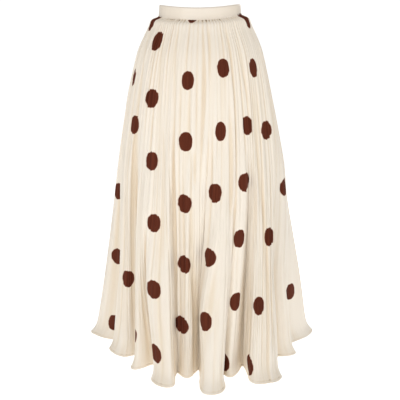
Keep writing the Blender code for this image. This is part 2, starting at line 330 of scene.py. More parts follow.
def build_waistband():
    half_slit = 0.5 * BAND_SLIT / ROUND_AT_SLIT
    bearings = np.linspace(half_slit - math.pi, math.pi - half_slit, BAND_COLUMNS)
    drops = np.array([row[0] for row in BAND_SECTION]) * MM * BAND_SEEN / BAND_HEIGHT
    insets = np.array([row[1] for row in BAND_SECTION]) * MM
    steps = np.hypot(np.diff(drops, prepend=drops[0]), np.diff(insets, prepend=insets[0]))
    from_end = (math.pi - half_slit - np.abs(bearings)) * ROUND_BESIDE_SLIT
    opened = smooth_step(from_end / END_TURNED_IN)
    quick, slow = EASED_TURNS
    uneven = EDGE_EASED * np.sin(quick * bearings) * np.sin(slow * bearings + 1)
    points = []
    for drop, inset in zip(drops, insets):
        eased = uneven * smooth_step(drop / BAND_HEIGHT)
        set_back = MIDDLE_OF_BAND + (inset - MIDDLE_OF_BAND) * opened - eased * opened
        points.append(oval(bearings, drop, set_back))
    lie = np.stack(np.meshgrid(bearings * ROUND_BAND, np.cumsum(steps)), axis=-1)
    mesh = woven_mesh("satin_waistband", np.array(points)[::-1], lie[::-1])
    band = hang("satin_waistband", mesh, waistband_satin(), BAND_CLOTH)
    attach(band, "skirt")
    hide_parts("waistband")


build_waistband()


# ==================================================================================================
# Front panel
# A wide panel of printed satin, set in fine pleats by heat and gathered into the waistband. It
# falls in deep folds that open towards a rolled hem, which stands out like a trumpet at the end of
# each fold.

# Beside the zip the panels have no pleats: this far to each side of it and below it
ZIP_LENGTH = 185 * MM
PLAIN_BESIDE_ZIP = 15 * MM
PLAIN_BELOW_ZIP = 55 * MM
HELD_BESIDE_ZIP = 26 * MM

# Beside the zip the cloth is not gathered, so it is held in against the puff under the band, in mm:
# (drop, held in)
HELD_BY_ZIP = (
    (36, 0),
    (45, 9),
    (60, 11),
    (90, 9),
    (130, 5),
    (190, 1),
    (230, 0),
)

# The fold lines, in order round the skirt from the wearer's right side: every crest and every
# valley. Bearings are in degrees from the centre front, positive towards +X:
# (bearing at the waist, bearing at the hem, set back from the outline at the hem in mm,
#  drop at which it begins in mm, pleats to the next)
FOLDS = (
    (-90, -94, 0, 220, 2),
    (-84, -86, 34, 300, 1),
    (-80, -79, 92, 400, 3),
    (-70, -71, 52, 440, 2),
    (-62, -58, 70, 460, 3),
    (-51, -53, 122, 260, 2),
    (-45, -42, 50, 540, 2),
    (-39, -34, 112, 560, 2),
    (-33, -24, 26, 520, 2),
    (-28, -15.5, 20, 460, 2),
    (-20, -17, 92, 360, 3),
    (-7, -9, 74, 480, 3),
    (8, -2, 118, 360, 2),
    (16, 1, 4, 420, 2),
    (23, 8.5, 4, 420, 2),
    (30, 12.5, 90, 500, 1),
    (33, 16.5, 70, 540, 2),
    (38, 29, 112, 340, 3),
    (49, 25.5, 26, 440, 3),
    (59, 32.5, 0, 500, 3),
    (70, 39.5, 8, 500, 3),
    (82, 50, 106, 360, 2),
    (89, 65.5, 46, 500, 2),
    (95, 74, 84, 520, 2),
    (103, 95, 0, 300, 2),
    (109, 104, 90, 420, 2),
    (114, 113, 28, 400, 3),
    (122, 125, 112, 300, 2),
    (129, 131, 22, 400, 4),
    (140, 142, 12, 400, 3),
    (148, 153, 110, 340, 2),
    (154, 160, 50, 560, 3),
    (163, 169, 100, 480, 3),
    (173, 174, 26, 300, 4),
    (187, 186, 24, 300, 3),
    (197, 191, 102, 380, 3),
    (206, 201, 40, 600, 2),
    (212, 209, 108, 320, 2),
    (219, 218, 10, 400, 4),
    (231, 229, 18, 400, 2),
    (238, 235, 110, 360, 3),
    (247, 247, 34, 520, 2),
    (255, 256, 88, 440, 3),
)

# Folds that lean aside for a part of their fall:
# (place, half width in pleats, degrees, drop in mm where it leans most, half height in mm)
LEANING = (
    (6.0, 1.8, 6.0, 660, 290),
    (16.0, 2.0, -5.6, 800, 170),
    (28.5, 2.0, -3.6, 830, 150),
    (46.0, 2.5, -5.0, 700, 200),
    (50.5, 2.5, -10.0, 780, 180),
)

# A small step along the cloth, in pleats, over which its direction is taken
SMALL_STEP = 0.05

# How the folds open, from where each begins to the hem, where it is deepest
FOLDS_OPENING = 1.2

# Fine pleats: half of their depth, a row per level in mm: (drop, half depth)
PLEAT_DEPTH = (
    (30, 0.3),
    (36, 0.4),
    (39, 1.5),
    (43, 2.0),
    (60, 2.0),
    (130, 2.2),
    (420, 2.4),
    (800, 2.2),
    (980, 1.6),
    (1020, 0.9),
    (1040, 0.4),
)

# Where the pleats have opened, a finer pleat shows in the middle of each, in mm: (drop, half depth)
OPENED_PLEAT_DEPTH = (
    (250, 0.0),
    (450, 0.7),
    (800, 1.1),
    (980, 1.0),
    (1020, 0.7),
    (1040, 0.4),
)

# The pleats are uneven in strength and in spacing, in waves that are added up and divided by
# UNEVEN_RANGE to stay within about 1: (times round the skirt, waves down it, phase)
UNEVEN = (
    (9, 0.6, 0.4),
    (17, -1.1, 2.0),
    (26, 1.5, 4.1),
    (37, -0.7, 1.2),
    (49, 0.9, 5.0),
)
UNEVEN_RANGE = 2.4

# How strong each relief is round the skirt: (mean, how much the waves change it, least, most)
PLEAT_STRENGTH = (0.75, 0.75, 0.08, 1.5)
FINER_STRENGTH = (0.8, 0.8, 0.1, 1.6)
POCKET_STRENGTH = (0.6, 0.9, 0.0, 1.2)
SOFT_FOLD_STRENGTH = (0.6, 0.4, -1.0, 2.0)

# Just under the band all pleats are about as strong as each other.
STRENGTH_AT_TOP = 0.85
STRENGTH_SETTLES = 40 * MM

# A pleat's crest is round and its hollow is sharp.
CREST_ROUNDNESS = 0.75

# The pleats wander sideways below the band, in pleats.
PLEATS_WANDER = 0.26
WANDER_SETTLES = 100 * MM

# Just under the band each pleat's hollow is a small deep pocket.
POCKET_AT = 38.5 * MM
POCKET_TALL = 3.4 * MM
POCKET_DEEP = 6.0 * MM
POCKET_WIDE = 0.25

# The puffed cloth rides up to the band's lower edge, and a little more at the wearer's sides.
PUFF_RISE = 3.5 * MM
PUFF_FROM = 40 * MM
PUFF_FADES = 35 * MM
SIDE_RISE = 2.5 * MM
LEFT_RISES = 1.5 * MM

# Softer folds two to three pleats wide: how many go round the skirt, how far they wander in turns,
# and half of their depth in mm: (drop, half depth)
SOFT_FOLDS = 41
SOFT_FOLDS_WANDER = 0.35
SOFT_FOLD_DEPTH = (
    (36, 0.0),
    (70, 0.9),
    (200, 2.0),
    (500, 2.8),
    (850, 2.6),
    (1000, 1.8),
    (1040, 1.2),
)

# The last of the cloth above the hem stands out like a trumpet, less so in the valleys.
TRUMPET = 9 * MM
TRUMPET_HEIGHT = 30 * MM
LESS_IN_VALLEY = 0.85

# The panels' tops are tucked under the band.
PANEL_CLOTH = 0.5 * MM
TUCKED_UNDER_BAND = 1.1 * MM
TUCK_FADES = 9 * MM

# The pleats are numbered round the cloth from the wearer's right side. The side seams lie just
# behind the outermost fold of each side, and the zip midway between two folds.
PLACES = np.cumsum([0] + [row[4] for row in FOLDS])[:-1]
PLEATS = sum(row[4] for row in FOLDS)
RIGHT_SEAM = -0.75
LEFT_FOLD = next(i for i, row in enumerate(FOLDS) if row[0] == 103)
LEFT_SEAM = float(PLACES[LEFT_FOLD]) + 1.25
BEFORE_ZIP = max(i for i, row in enumerate(FOLDS) if row[0] < 180)
CENTRE_BACK = float(PLACES[BEFORE_ZIP]) + FOLDS[BEFORE_ZIP][4] / 2

# Single creases and ridges that run down the cloth for a way and then fade: (depth in mm, less than
# 0 for a ridge, half width in pleats, the line it follows), where each point of the line is (drop
# in mm, place)
CREASE_FADES = 0.6
CREASES = (
    (5.9, 0.40, ((50, 5.9), (141, 8.6), (258, 9.6), (459, 9.5), (701, 9.2), (960, 9.0))),
    (3.4, 0.45, ((330, 17.9), (426, 18.3), (543, 18.2), (700, 17.8))),
    (4.2, 0.25, ((384, 24.8), (484, 25.0))),
    (5.2, 0.50, ((518, 24.4), (660, 24.5), (819, 25.3), (1010, 25.5))),
    (3.9, 0.60, ((230, 31.8), (417, 32.0), (526, 32.3), (668, 33.3), (844, 34.3))),
    (5.5, 0.70, ((200, 39.0), (384, 39.6), (576, 41.1), (710, 42.1), (961, 43.5))),
    (3.6, 0.30, ((40, 27.4), (200, 27.1))),
    (3.3, 0.30, ((141, 26.3), (334, 26.4))),
    (-2.6, 1.00, ((150, 11.7), (309, 13.7), (476, 14.7), (635, 15.4))),
    (-2.6, 0.70, ((526, 25.9), (668, 26.1), (850, 26.4))),
    (-2.0, 1.60, ((359, 34.3), (501, 34.6), (676, 37.2), (850, 38.4))),
    (-2.2, 0.80, ((384, 29.3), (576, 29.6), (793, 30.5))),
    (3.9, 0.45, ((520, 2.3), (693, 2.2), (877, 2.1), (1019, 1.9))),
    (2.9, 0.40, ((417, 21.4), (584, 21.5), (793, 21.2))),
    (3.2, 0.30, ((60, 14.9), (141, 15.5), (258, 16.0))),
    (3.2, 0.30, ((60, 20.1), (116, 20.4), (275, 20.8))),
    (3.2, 0.30, ((50, 32.7), (91, 32.8), (225, 32.9))),
    (3.3, 0.35, ((80, 35.9), (150, 36.2), (258, 37.0))),
    (-2.0, 0.80, ((690, 18.6), (743, 18.8), (885, 19.0))),
    (3.1, 0.45, ((90, 45.8), (260, 47.2), (520, 47.8))),
    (-2.2, 0.90, ((220, 51.4), (460, 51.9), (760, 52.3))),
    (4.7, 0.45, ((60, 58.2), (240, 59.0), (520, 58.6), (860, 58.9))),
    (-2.4, 0.90, ((180, 61.5), (420, 62.1), (700, 62.0))),
    (3.6, 0.50, ((330, 65.2), (560, 65.9), (900, 66.3))),
    (2.6, 0.30, ((50, 67.6), (250, 68.4))),
    (-2.2, 0.80, ((420, 70.4), (640, 70.2), (930, 70.0))),
    (4.4, 0.45, ((210, 73.6), (430, 73.0), (800, 72.4))),
    (2.6, 0.35, ((60, 84.9), (280, 85.3))),
    (4.2, 0.45, ((240, 87.2), (520, 87.9), (900, 88.3))),
    (-2.6, 1.00, ((160, 90.6), (430, 90.0), (690, 90.3))),
    (4.9, 0.50, ((90, 95.2), (330, 94.4), (640, 93.6), (970, 93.4))),
    (2.9, 0.40, ((60, 98.8), (300, 99.5))),
    (-2.4, 0.90, ((380, 101.0), (620, 101.5), (900, 101.9))),
    (3.4, 0.45, ((500, 104.2), (760, 104.6), (1010, 104.9))),
    (-8.0, 1.30, ((560, 33.0), (760, 33.2), (1000, 33.2))),
    (-6.0, 1.30, ((260, 54.2), (600, 54.3), (1038, 54.2))),
    (-3.0, 1.20, ((200, 0.0), (620, 0.1), (1038, 0.0))),
)

# The dots of the print, column by column from the waist to the hem. Gathered cloth takes up some of
# a dot's width, more of it under the band than where the folds open: (place, drop in mm, half width
# in mm)
DOTS = (
    ((5.1, 46, 15), (4.6, 204, 15), (1.7, 553, 23), (2.3, 762, 23), (2.4, 986, 23)),
    ((8.7, 332, 19), (8.0, 793, 21)),
    (
        (12.5, 95, 17), (14.3, 252, 21), (15.6, 422, 19),
        (16.7, 593, 21), (17.3, 781, 25), (17.2, 963, 21),
    ),
    ((12.5, 944, 19),),
    (
        (23.3, 18, 15), (23.4, 198, 17), (23.3, 363, 19),
        (23.2, 532, 21), (23.1, 707, 21), (22.5, 891, 25),
    ),
    ((30.5, 165, 17), (29.7, 336, 15), (28.8, 501, 19), (28.5, 679, 25), (29.1, 853, 21)),
    (
        (40.7, 171, 15), (36.0, 325, 15), (34.9, 478, 25),
        (34.0, 633, 15), (34.1, 817, 15), (33.3, 1005, 19),
    ),
    ((45.3, 41, 15), (43.4, 346, 23), (42.7, 642, 15), (40.0, 831, 15), (38.3, 1006, 23)),
    ((50.0, 528, 25), (52.7, 872, 25)),
    ((52.9, 190, 16), (53.4, 370, 18), (55.2, 690, 20), (56.3, 1005, 22)),
    (
        (58.6, 90, 16), (58.2, 265, 17), (58.8, 440, 18),
        (58.4, 620, 20), (58.9, 800, 21), (58.5, 985, 22),
    ),
    ((65.1, 165, 16), (65.4, 345, 18), (65.0, 520, 19), (65.5, 705, 20), (65.2, 880, 22)),
    (
        (71.4, 75, 16), (71.8, 250, 17), (71.3, 430, 18),
        (71.6, 610, 20), (71.9, 790, 21), (71.5, 975, 22),
    ),
    ((77.0, 160, 16), (76.6, 335, 18), (76.9, 515, 19), (77.3, 700, 20), (76.8, 885, 22)),
    (
        (83.2, 85, 16), (83.6, 255, 17), (83.1, 435, 18),
        (83.7, 615, 20), (83.4, 800, 21), (83.8, 980, 22),
    ),
    ((90.1, 160, 16), (89.8, 340, 18), (90.3, 520, 19), (90.6, 700, 20), (90.2, 885, 22)),
    (
        (96.4, 70, 16), (96.8, 245, 17), (97.1, 430, 18),
        (96.6, 610, 20), (97.0, 795, 21), (96.7, 975, 22),
    ),
    ((103.1, 155, 16), (102.8, 335, 18), (103.4, 510, 19), (103.0, 700, 20), (103.3, 880, 22)),
)
DOT_HALF_HEIGHT = 25.5 * MM
DOT_ROUNDNESS = 2.2

# A dot is looked for this far past both ends of the row of places, in pleats, at this spacing, and
# out to this many times its size.
DOTS_PAST_END = 8
DOTS_SPACING = 0.25
FAR_FROM_DOTS = 4.0


def all_round(column):
    """A column of the fold table at every place, over three turns, so that its curve closes."""
    turns = (-1, 0, 1)
    step = 360 if column < 2 else 0
    places = np.concatenate([PLACES + turn * PLEATS for turn in turns])
    values = np.concatenate([[row[column] + step * turn for row in FOLDS] for turn in turns])
    return places, values


def bearing_at(places, drop):
    """Bearings of these places at one level, in radians."""
    waist = curve_through(*all_round(0), places)
    hem = curve_through(*all_round(1), places)
    fallen = min(max(drop - BAND_HEIGHT, 0.0) / (LENGTH - BAND_HEIGHT), 1.0)
    bearing = waist + (hem - waist) * fallen
    for place, half_width, degrees, leans_at, half_height in LEANING:
        lean = degrees * math.exp(-(((drop / MM - leans_at) / half_height) ** 2))
        bearing = bearing + lean * np.exp(-(((places - place) / half_width) ** 2))
    return np.radians(bearing)


def smooth_cloth(places, drop):
    """The cloth's outer face without its fine pleats."""
    bearing = bearing_at(places, drop)
    begins = MM * curve_through(*all_round(3), places)
    opened = np.maximum(0.0, (drop - begins) / (LENGTH - begins)) ** FOLDS_OPENING
    set_back = MM * curve_through(*all_round(2), places) * opened
    beside_zip = (bearing - math.pi) * read_row(PROFILE, 1, drop) / HELD_BESIDE_ZIP
    held_in = read_row(HELD_BY_ZIP, 1, drop) * np.exp(-(beside_zip**2))
    return oval(bearing, drop, set_back + held_in)


def outward(places, drop):
    """Level unit normals of the smooth cloth, pointing out of the skirt."""
    along = smooth_cloth(places + SMALL_STEP, drop) - smooth_cloth(places - SMALL_STEP, drop)
    normal = np.stack([along[:, 1], -along[:, 0], 0 * along[:, 0]], axis=-1)
    return normal / np.linalg.norm(normal, axis=-1, keepdims=True)


def waves(places, drop, turned):
    """An uneven number, about -1 to 1, that changes slowly down the cloth and quickly round it."""
    round_waist = 2 * math.pi * places / PLEATS
    down = 2 * math.pi * drop / LENGTH
    total = sum(
        np.sin(turns * round_waist + fall * down + phase + turned) for turns, fall, phase in UNEVEN
    )
    return total / UNEVEN_RANGE


def strength_of(relief, places, drop, turned):
    """How strong a relief is at each place. Each kind has its own turn, so none follows another."""
    mean, change, least, most = relief
    return np.clip(mean + change * waves(places, drop, turned), least, most)


def crease(places, drop, line):
    """How far each place is from the line, in pleats, and the crease's strength at this level."""
    drops, along = [point[0] for point in line], [point[1] for point in line]
    run = (drop / MM - drops[0]) / (drops[-1] - drops[0])
    strength = math.sin(math.pi * run) ** CREASE_FADES if 0 < run < 1 else 0.0
    off = (places - curve_through(drops, along, drop / MM) + PLEATS / 2) % PLEATS - PLEATS / 2
    return off, strength


def fine_relief(places, drop):
    """How far the pleats, gathers and creases stand out from the smooth cloth, in metres."""
    below_band = drop - BAND_HEIGHT
    settled = smooth_step(below_band / WANDER_SETTLES)
    lies = places + PLEATS_WANDER * settled * waves(places, drop, 2.0)
    crest = 2 * np.abs(np.sin(math.pi * lies)) ** CREST_ROUNDNESS - 1
    strength = strength_of(PLEAT_STRENGTH, places, drop, 0.0)
    near_band = 1 - smooth_step(below_band / STRENGTH_SETTLES)
    strength = strength + (STRENGTH_AT_TOP - strength) * near_band
    relief = read_row(PLEAT_DEPTH, 1, drop) * crest * strength
    finer = 2 * np.abs(np.sin(2 * math.pi * lies)) ** CREST_ROUNDNESS - 1
    finer = finer * strength_of(FINER_STRENGTH, places, drop, 3.0)
    relief += read_row(OPENED_PLEAT_DEPTH, 1, drop) * finer
    off_hollow = (lies - np.round(lies)) / POCKET_WIDE
    pocket = np.exp(-(off_hollow**2)) * strength_of(POCKET_STRENGTH, places, drop, 5.0)
    relief -= POCKET_DEEP * math.exp(-(((drop - POCKET_AT) / POCKET_TALL) ** 2)) * pocket
    wandering = SOFT_FOLDS * places / PLEATS + SOFT_FOLDS_WANDER * waves(places, drop, 4.0)
    soft = np.sin(2 * math.pi * wandering) * strength_of(SOFT_FOLD_STRENGTH, places, drop, 1.0)
    relief += read_row(SOFT_FOLD_DEPTH, 1, drop) * soft
    for depth, half_width, line in CREASES:
        off, strength = crease(places, drop, line)
        if strength:
            relief -= depth * MM * strength * np.exp(-((off / half_width) ** 2))
    centre_back = smooth_cloth(np.array([CENTRE_BACK]), drop)
    off_zip = np.linalg.norm(smooth_cloth(places, drop) - centre_back, axis=-1)
    beside = smooth_step((off_zip - PLAIN_BESIDE_ZIP) / PLAIN_BESIDE_ZIP)
    below = smooth_step((drop - ZIP_LENGTH) / PLAIN_BELOW_ZIP)
    return relief * np.maximum(beside, below)


def cloth(places, drop):
    """The cloth's outer face at one level: points at these places."""
    turned = max(0.0, 1 - (LENGTH - drop) / TRUMPET_HEIGHT) ** 2
    deepest = max(row[2] for row in FOLDS)
    in_valley = np.maximum(curve_through(*all_round(2), places), 0.0) / deepest
    lift = fine_relief(places, drop) + TRUMPET * turned * (1 - LESS_IN_VALLEY * in_valley)
    lift -= TUCKED_UNDER_BAND * (1 - smooth_step((drop - BAND_HEIGHT) / TUCK_FADES))
    points = smooth_cloth(places, drop) + outward(places, drop) * lift[:, None]
    puff = 1 - smooth_step((drop - PUFF_FROM) / PUFF_FADES)
    to_left = np.sin(bearing_at(places, drop))
    points[:, 2] += puff * (PUFF_RISE + SIDE_RISE * to_left**2 + LEFT_RISES * to_left)
    return points


def nearest_dot(places, drop):
    """From the middle of the dot nearest to each place: how far away, how far across and how far
    down the place is, where 1 is the dot's edge.
    """
    row = np.arange(-DOTS_PAST_END, PLEATS + DOTS_PAST_END, DOTS_SPACING)
    steps = np.linalg.norm(np.diff(smooth_cloth(row, drop), axis=0), axis=-1)
    walked = np.concatenate([[0], np.cumsum(steps)])
    here = np.interp(places, row, walked)
    nearest, beside, below = np.full((3, len(places)), FAR_FROM_DOTS)
    for middle, dot_drop, half_width in (dot for column in DOTS for dot in column):
        down = (drop - dot_drop * MM) / DOT_HALF_HEIGHT
        for turn in (-PLEATS, 0, PLEATS):
            within = -DOTS_PAST_END < middle + turn < PLEATS + DOTS_PAST_END
            if not within or abs(down) > FAR_FROM_DOTS:
                continue
            across = (here - np.interp(middle + turn, row, walked)) / (half_width * MM)
            away = np.abs(across) ** DOT_ROUNDNESS + abs(down) ** DOT_ROUNDNESS
            away = away ** (1 / DOT_ROUNDNESS)
            nearer = away < nearest
            nearest[nearer], beside[nearer], below[nearer] = away[nearer], across[nearer], down
    return nearest, beside, below


# Colours of the cloth: pairs are the darkest and the lightest of the same dye.
CREAM = ((0.88, 0.80, 0.69), (0.90, 0.83, 0.73))
BROWN = ((0.085, 0.016, 0.006), (0.125, 0.026, 0.010))

# Painted shade: the cream is tinted warmer and darker in a pleat's hollow, a fold's valley and
# along the hem's stitches, and nearly brown in the small pockets under the band. The brown dye
# bleeds a little at the edge of a dot.
PAINTED_HOLLOW_SHADE = (0.83, 0.71, 0.55)
PAINTED_POCKET_SHADE = (0.36, 0.26, 0.17)
BLED_DYE = (0.50, 0.24, 0.14)

# The print is duller than the satin round it.
SATIN_ROUGHNESS = 0.42
PRINT_ROUGHNESS = 0.8

# Stitches of the hem to each pleat, and the scale of a wave texture with one band to each unit
HEM_STITCHES = 14.0
ONE_BAND = 0.314


def from_dot_middle(satin):
    """How far a point is from the middle of its dot, where 1 is the dot's edge."""
    powers = []
    for direction in ("beside_dot", "below_dot"):
        distance = satin.math("ABSOLUTE", satin.mark(direction))
        powers.append(satin.math("POWER", distance, DOT_ROUNDNESS))
    return satin.math("POWER", satin.math("ADD", *powers), 1 / DOT_ROUNDNESS)


def pleated_satin():
    satin = Finish("pleated_satin", roughness=SATIN_ROUGHNESS, gloss=0.17, sheen=0.02)

    # The dyed cloth: a slow change of tone, with painted shade in the hollows and in the pockets
    # under the band
    crinkle = satin.noise(satin.lie((2.6, 0.10)), 1.0, 4.0, 0.55)
    cloudy = satin.noise(satin.space((6.0, 6.0, 3.0)), 1.0, 2.0)
    cream = satin.blend(satin.spread(cloudy, 0.3, 0.7), *CREAM)
    painted_shade_amount = satin.spread(satin.mark("painted_shade"), 0.0, 1.0, 0.0, 0.75)
    cream = satin.blend(painted_shade_amount, cream, PAINTED_HOLLOW_SHADE)
    # Painted shade: the cream turns nearly brown in the small pockets under the band
    pocket = satin.spread(satin.mark("painted_shade"), 1.0, 2.0)
    cream = satin.blend(pocket, cream, PAINTED_POCKET_SHADE)

    # The print: a dot's edge is a little ragged.
    ragged = satin.noise(satin.lie((3.0, 1.2)), 1.0, 2.0)
    ragged = satin.spread(ragged, 0.25, 0.75, -0.05, 0.05)
    edge = satin.math("ADD", from_dot_middle(satin), ragged)
    by_dot = satin.spread(satin.mark("from_dot"), 1.4, 1.5, 1.0, 0.0)
    inside = satin.math("MULTIPLY", satin.spread(edge, 0.985, 1.015, 1.0, 0.0), by_dot)
    bleeding = satin.math("MULTIPLY", satin.spread(edge, 1.0, 1.07, 0.8, 0.0), by_dot)
    cream = satin.blend(bleeding, cream, BLED_DYE)
    brown = satin.blend(satin.spread(crinkle, 0.3, 0.7), *BROWN)

    # The surface: streaks where the pleats have opened, crinkles, the twill, and the hem's stitches
    streaks = satin.noise(satin.lie((7.0, 0.16)), 1.0, 2.0, 0.6)
    streaks = satin.math("MULTIPLY", streaks, satin.mark("opened"))
    crinkled = satin.relief(streaks, 3.0 * MM, 0.8, satin.relief(crinkle, 1.2 * MM, 0.6))
    twill = satin.weave(satin.lie((1.0, 1.0)), "DIAGONAL", 18.0)
    woven = satin.relief(twill, 0.02 * MM, 0.4, crinkled)
    stitches = satin.weave(satin.lie((HEM_STITCHES, 1.0)), "X", ONE_BAND)
    thread = satin.math("MULTIPLY", satin.mark("stitched"), stitches)
    sewn = satin.relief(thread, 0.3 * MM, 0.8, woven)
    dull = satin.spread(inside, 0.0, 1.0, SATIN_ROUGHNESS, PRINT_ROUGHNESS)
    return satin.wear(satin.blend(inside, cream, brown), sewn, dull)


PLEATED_SATIN = pleated_satin()

# A panel's mesh: its columns, and its rows from under the band to the hem, in mm
COLUMNS_PER_PLEAT = 9
ROWS_BY_BAND = (30, 33, 36, 37.5, 39, 41, 43, 46, 50, 55, 61, 68, 76, 85)
ROWS_BETWEEN = np.linspace(95, 1000, 64)
ROWS_BY_HEM = (1006, 1012, 1018, 1023, 1027, 1030.5, 1033, 1034.4, 1035.5, 1036.6, 1038, 1040)
PANEL_DROPS = MM * np.concatenate([ROWS_BY_BAND, ROWS_BETWEEN, ROWS_BY_HEM])

# One unit of the cloth's own map is a pleat across and this far along.
LIE_UNIT = 18 * MM

# The panels' edges are turned in, by these depths in mm from the edge on, and much less by the zip.
ZIP_SLIT = 1.6 * MM
SEAM_GAP = 0.3 * MM
SEAM_ALLOWANCE = (7.0, 3.5, 0.4)
NARROW_BY_ZIP = 0.15

# Painted shade: how deep a pleat and a fold are where it is fullest, how much of it shows on level
# cloth, and how much along the hem's stitched line
PLEAT_SHADE = 3.2 * MM
FOLD_SHADE = 220 * MM
LEVEL_SHADE = 0.3
STITCH_SHADE = 0.7

# The pleats are crisp down to here, and have opened after so much more.
FINE_ABOVE = 150 * MM
OPENS_OVER = 700 * MM

# The hem is rolled inwards round itself and stitched just above the roll.
HEM_ROLL = 1.4 * MM
HEM_ROLL_TURNS = (55, 110, 165, 220, 275)
STITCHED_AT = 1035.5 * MM
STITCHED_IN = 0.7 * MM
STITCH_PULLS = 1.2 * MM


def moved_along(place, drop, distance):
    """The place at this distance along the cloth from a place."""
    ahead, behind = smooth_cloth(np.array([place + SMALL_STEP, place - SMALL_STEP]), drop)
    return place + distance * 2 * SMALL_STEP / np.linalg.norm(ahead - behind)


def half_gap(place, drop):
    """Half of the space at a panel's edge: the slit over the zip, or a closed seam."""
    at_zip = abs(place - CENTRE_BACK) < SMALL_STEP and drop < ZIP_LENGTH
    return ZIP_SLIT / 2 if at_zip else SEAM_GAP / 2


def build_panel(name, node, start, end):
    """A panel from one seam to the next, its edges turned in for a seam allowance."""
    count = round((end - start) * COLUMNS_PER_PLEAT)
    places = np.linspace(start, end, count + 1)
    columns = np.concatenate([places[:1], places[:1], places, places[-1:], places[-1:]])
    turned_in = np.zeros(len(columns))
    turned_in[:3] = np.array(SEAM_ALLOWANCE) * MM
    turned_in[-3:] = np.array(SEAM_ALLOWANCE[::-1]) * MM
    by_zip = np.abs(columns - CENTRE_BACK) < SMALL_STEP
    points = []
    marks = dict(from_dot=[], beside_dot=[], below_dot=[], painted_shade=[], opened=[], stitched=[])
    for drop in PANEL_DROPS:
        first = moved_along(start, drop, half_gap(start, drop))
        last = moved_along(end, drop, -half_gap(end, drop))
        across = first + (columns - start) * (last - first) / (end - start)
        allowance = turned_in * np.where(by_zip & (drop < ZIP_LENGTH), NARROW_BY_ZIP, 1.0)
        by_stitches = math.exp(-(((drop - STITCHED_AT) / STITCH_PULLS) ** 2))
        stitched = allowance + STITCHED_IN * by_stitches
        points.append(cloth(across, drop) - outward(across, drop) * stitched[:, None])
        outline = oval(bearing_at(columns, drop), drop)
        deep = np.linalg.norm(smooth_cloth(columns, drop) - outline, axis=-1)
        # Painted shade: more in a pleat's hollow and a fold's valley, some on level cloth, and a
        # line of it along the hem's stitches
        painted_shade_amount = LEVEL_SHADE - fine_relief(columns, drop) / PLEAT_SHADE + deep / FOLD_SHADE
        # The painted shade goes past 1, to nearly brown, only at the level of the small pockets
        # under the band
        gathered = 1.0 + math.exp(-(((drop - POCKET_AT) / POCKET_TALL) ** 2))
        painted_shade_amount = np.minimum(painted_shade_amount, gathered) + STITCH_SHADE * by_stitches
        opened = smooth_step((drop - FINE_ABOVE) / OPENS_OVER)
        here = (*nearest_dot(across, drop), np.clip(painted_shade_amount, 0.0, 2.0), opened, by_stitches)
        for table, value in zip(marks.values(), here):
            table.append(value + np.zeros(len(columns)))
    edge = points[-1]
    hanging = edge - points[-2]
    hanging /= np.linalg.norm(hanging, axis=-1, keepdims=True)
    facing = outward(columns, LENGTH)
    facing -= hanging * (facing * hanging).sum(axis=-1, keepdims=True)
    facing /= np.linalg.norm(facing, axis=-1, keepdims=True)
    for turn in np.radians(HEM_ROLL_TURNS):
        points.append(edge + HEM_ROLL * (facing * (math.cos(turn) - 1) + hanging * math.sin(turn)))
        for table in marks.values():
            table.append(table[-1])
    drops = np.append(PANEL_DROPS, LENGTH + HEM_ROLL * np.radians(HEM_ROLL_TURNS))
    lie = np.stack(np.meshgrid(columns, drops / LIE_UNIT), axis=-1)
    mesh = woven_mesh(name, np.array(points), lie, **marks)
    panel = hang(name, mesh, PLEATED_SATIN, PANEL_CLOTH)
    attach(panel, "skirt")
    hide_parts(node)
    return panel


front = build_panel("pleated_front", "skirt_front", RIGHT_SEAM, LEFT_SEAM)


# ==================================================================================================
# Back panels
# Two panels of the same printed and pleated satin, seamed to the front at the sides. They close on
# the zip at the centre back and are stitched to each other below it.

back_left = build_panel("pleated_back_left", "skirt_back_left", LEFT_SEAM, CENTRE_BACK)

back_right = build_panel("pleated_back_right", "skirt_back_right", CENTRE_BACK, RIGHT_SEAM + PLEATS)


# ==================================================================================================
# Concealed zip
# Two narrow woven tapes sewn behind the edges of the band and of the back panels, each with a fine
# nylon coil along its edge. The small enamelled slider sits inside the band, and its pull hangs
# outside the slit.

ZIP_TOP = 3 * MM
TAPE_WIDTH = 12 * MM
TAPE_CLOTH = 0.6 * MM
TAPE_CLEARANCE = 0.4 * MM
CLOTH_WALL = 1.2 * MM
TAPE_COLUMNS = 9
TAPE_ROWS_ABOVE = np.linspace(ZIP_TOP / MM, 60, 24)
TAPE_ROWS_BELOW = np.linspace(66, ZIP_LENGTH / MM, 18)
TAPE_DROPS = MM * np.concatenate([TAPE_ROWS_ABOVE, TAPE_ROWS_BELOW])

# The coil's turns and the radius of its wire, how near to the slit and how far from it the coil
# reaches, and half of its depth, with its middle so many half depths off the tape
COIL_PITCH = 1.6 * MM
COIL_WIRE = 0.22 * MM
COIL_REACH = (0.15 * MM, 1.35 * MM)
COIL_HALF_DEPTH = 0.55 * MM
COIL_OFF_TAPE = 1.1
COIL_STEPS = 9

# The drop, up and down, over which the slope of the cloth before the zip is taken
SLOPE_STEP = 4 * MM


def before_zip(places, drop):
    """The outer face in front of the zip: the band above, the cloth below."""
    if drop <= BAND_HEIGHT:
        return oval(bearing_at(places, BAND_HEIGHT), drop)
    return smooth_cloth(places, drop)


def behind_face(reach, drop, depth):
    """Points at these distances along the cloth from the slit, this deep behind the outer face."""
    places = np.array([moved_along(CENTRE_BACK, drop, distance) for distance in reach])
    along = before_zip(places + SMALL_STEP, drop) - before_zip(places - SMALL_STEP, drop)
    down = before_zip(places, drop + SLOPE_STEP) - before_zip(places, drop - SLOPE_STEP)
    out = np.cross(down, along)
    return before_zip(places, drop) - depth * out / np.linalg.norm(out, axis=-1, keepdims=True)


def tape_depth(drop):
    """How deep the tape lies behind the outer face: more behind the band than behind the cloth."""
    passed = smooth_step((drop - BAND_HEIGHT) / (0.5 * BAND_HEIGHT))
    return TAPE_CLEARANCE + BAND_WALL + (CLOTH_WALL - BAND_WALL) * passed


